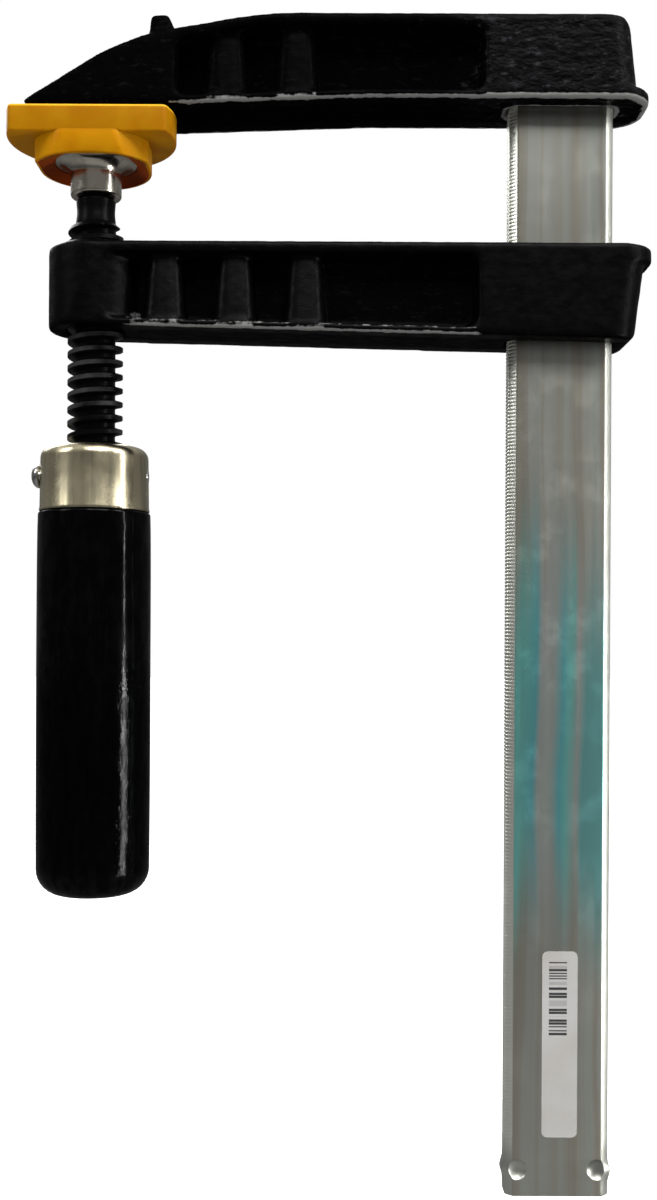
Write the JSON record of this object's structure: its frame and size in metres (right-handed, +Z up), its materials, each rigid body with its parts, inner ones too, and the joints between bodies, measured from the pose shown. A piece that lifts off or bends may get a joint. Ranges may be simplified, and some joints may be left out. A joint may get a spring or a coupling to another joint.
{
  "type": "bar clamp",
  "caption": "Deep-throat screw bar clamp: fixed cast arm on a flat steel rail, sliding arm with a wooden-handled spindle and a swivelling pad.",
  "frame": {"origin": "middle of the fixed jaw's clamping face, on the spindle axis", "axes": "+Z up along the rail and the spindle axis, +X from the spindle towards the rail, +Y away from the viewer through the arms' depth"},
  "size_m": [0.185, 0.034, 0.3377],
  "materials": {
    "plated_rail": "zinc plated, drawn, with coloured lengthwise streaks",
    "black_iron": "cast, painted black, pale wear on the edges",
    "black_steel": "blackened thread",
    "plated_steel": "bright plating",
    "spring_steel": "plain",
    "yellow_plastic": "moulded, satin",
    "lacquered_wood": "turned wood in gloss black lacquer"
  },
  "bodies": {
    "frame": {"rail": "plated_rail", "fixed_arm": "black_iron"},
    "slider": {"sliding_arm": "black_iron"},
    "ring": {"retaining_ring": "spring_steel"},
    "screw": {"spindle": "black_steel", "ferrule": "plated_steel", "handle_pin": "plated_steel", "handle": "lacquered_wood"},
    "pad": {"swivel_plate": "plated_steel", "pad_cap": "yellow_plastic"}
  },
  "joints": [
    {"name": "arm_slide", "type": "slide", "parent": "frame", "child": "slider", "axis": [0, 0, 1], "range_m": [-0.235, 0]},
    {"name": "spindle_feed", "type": "slide", "parent": "slider", "child": "ring", "axis": [0, 0, 1], "range_m": [-0.01201, 0]},
    {"name": "spindle_turn", "type": "hinge", "parent": "ring", "child": "screw", "pos_m": [0, 0, -0.014], "axis": [0, 0, 1], "range_deg": [-1080, 0]},
    {"name": "pad_tilt", "type": "hinge", "parent": "ring", "child": "pad", "pos_m": [0, 0, -0.014], "axis": [1, 0, 0], "range_deg": [-6, 6]}
  ],
  "couplings": [
    {"joint": "spindle_feed", "follows": "spindle_turn", "m_per_rad": 0.00063662}
  ]
}
